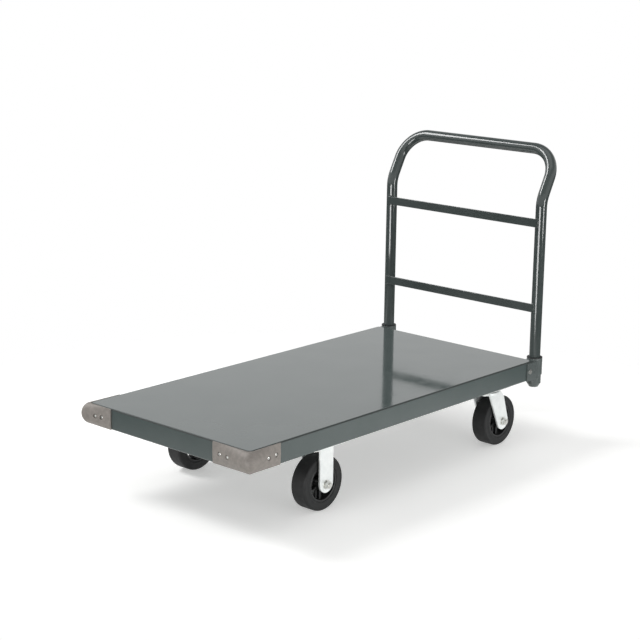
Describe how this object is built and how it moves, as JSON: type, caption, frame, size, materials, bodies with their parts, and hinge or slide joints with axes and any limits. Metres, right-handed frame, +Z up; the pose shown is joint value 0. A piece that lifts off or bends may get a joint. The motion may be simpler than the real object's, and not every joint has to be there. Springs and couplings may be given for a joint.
{
  "type": "platform truck",
  "caption": "Steel platform truck: folded steel deck with corner guards, lift-out bent pipe handle with flat rails, and spoked rubber-tyred casters, rigid in front and swivelling behind.",
  "frame": {"origin": "on the floor under the middle of the whole truck's length and width", "axes": "+X forwards, away from the handle; +Y to the pusher's left; +Z up"},
  "size_m": [1.3638, 0.6556, 0.8893],
  "materials": {
    "deck_enamel": "glossy grey stove enamel on sheet steel",
    "underside_enamel": "grey enamel, thinner under the deck",
    "handle_enamel": "glossy dark grey enamel on steel pipe and flat bar",
    "socket_enamel": "dark grey enamel on a casting",
    "bare_casting": "bare sanded casting, warm grey",
    "black_plastic": "matt black",
    "black_rubber": "black mould-on rubber, satin",
    "hub_enamel": "black enamel on cast iron",
    "zinc_plate": "bright zinc plate",
    "bright_fastener": "bright zinc plate",
    "bearing_steel": "ground steel with a film of grease"
  },
  "bodies": {
    "truck": {"caster_bolts": "bright_fastener", "caster_nuts": "bright_fastener", "deck_corners": "deck_enamel", "deck_flanges": "deck_enamel", "deck_top_sheet": "deck_enamel", "front_cross_channel": "underside_enamel", "front_left_axle_bolt": "bright_fastener", "front_left_axle_nut": "bright_fastener", "front_left_axle_sleeve": "bearing_steel", "front_left_fork": "zinc_plate", "front_right_axle_bolt": "bright_fastener", "front_right_axle_nut": "bright_fastener", "front_right_axle_sleeve": "bearing_steel", "front_right_fork": "zinc_plate", "front_thrust_washers": "bearing_steel", "kingpin_nuts": "bright_fastener", "left_bumper_screws": "bright_fastener", "left_corner_bumper": "bare_casting", "left_handle_socket": "socket_enamel", "left_socket_bush": "black_plastic", "left_stiffener": "underside_enamel", "rear_cross_channel": "underside_enamel", "rear_left_ball_race": "bearing_steel", "rear_left_kingpin": "bright_fastener", "rear_left_top_plate": "zinc_plate", "rear_right_ball_race": "bearing_steel", "rear_right_kingpin": "bright_fastener", "rear_right_top_plate": "zinc_plate", "right_bumper_screws": "bright_fastener", "right_corner_bumper": "bare_casting", "right_handle_socket": "socket_enamel", "right_socket_bush": "black_plastic", "right_stiffener": "underside_enamel", "socket_bolts": "bright_fastener", "socket_nuts": "bright_fastener"},
    "front_left_wheel": {"front_left_tyre": "black_rubber", "front_left_hub": "hub_enamel", "front_left_roller_bearing": "bearing_steel"},
    "rear_left_swivel": {"rear_left_yoke": "zinc_plate", "rear_left_axle_bolt": "bright_fastener", "rear_left_axle_nut": "bright_fastener", "rear_left_axle_sleeve": "bearing_steel", "rear_left_thrust_washers": "bearing_steel"},
    "rear_left_wheel": {"rear_left_tyre": "black_rubber", "rear_left_hub": "hub_enamel", "rear_left_roller_bearing": "bearing_steel"},
    "front_right_wheel": {"front_right_tyre": "black_rubber", "front_right_hub": "hub_enamel", "front_right_roller_bearing": "bearing_steel"},
    "rear_right_swivel": {"rear_right_yoke": "zinc_plate", "rear_right_axle_bolt": "bright_fastener", "rear_right_axle_nut": "bright_fastener", "rear_right_axle_sleeve": "bearing_steel", "rear_right_thrust_washers": "bearing_steel"},
    "rear_right_wheel": {"rear_right_tyre": "black_rubber", "rear_right_hub": "hub_enamel", "rear_right_roller_bearing": "bearing_steel"},
    "handle": {"handle_pipe": "handle_enamel", "upper_rail": "handle_enamel", "lower_rail": "handle_enamel"}
  },
  "joints": [
    {"name": "handle_lift", "type": "slide", "parent": "truck", "child": "handle", "axis": [0, 0, 1], "range_m": [0, 0.15]},
    {"name": "front_left_wheel_spin", "type": "hinge", "parent": "truck", "child": "front_left_wheel", "pos_m": [0.33734, 0.24, 0.0762], "axis": [0, 1, 0], "continuous": true},
    {"name": "rear_left_swivel_turn", "type": "hinge", "parent": "truck", "child": "rear_left_swivel", "pos_m": [-0.41066, 0.24, 0.176], "axis": [0, 0, 1], "continuous": true},
    {"name": "rear_left_wheel_spin", "type": "hinge", "parent": "rear_left_swivel", "child": "rear_left_wheel", "pos_m": [-0.45511, 0.24, 0.0762], "axis": [0, 1, 0], "continuous": true},
    {"name": "front_right_wheel_spin", "type": "hinge", "parent": "truck", "child": "front_right_wheel", "pos_m": [0.33734, -0.24, 0.0762], "axis": [0, 1, 0], "continuous": true},
    {"name": "rear_right_swivel_turn", "type": "hinge", "parent": "truck", "child": "rear_right_swivel", "pos_m": [-0.41066, -0.24, 0.176], "axis": [0, 0, 1], "continuous": true},
    {"name": "rear_right_wheel_spin", "type": "hinge", "parent": "rear_right_swivel", "child": "rear_right_wheel", "pos_m": [-0.45511, -0.24, 0.0762], "axis": [0, 1, 0], "continuous": true}
  ]
}
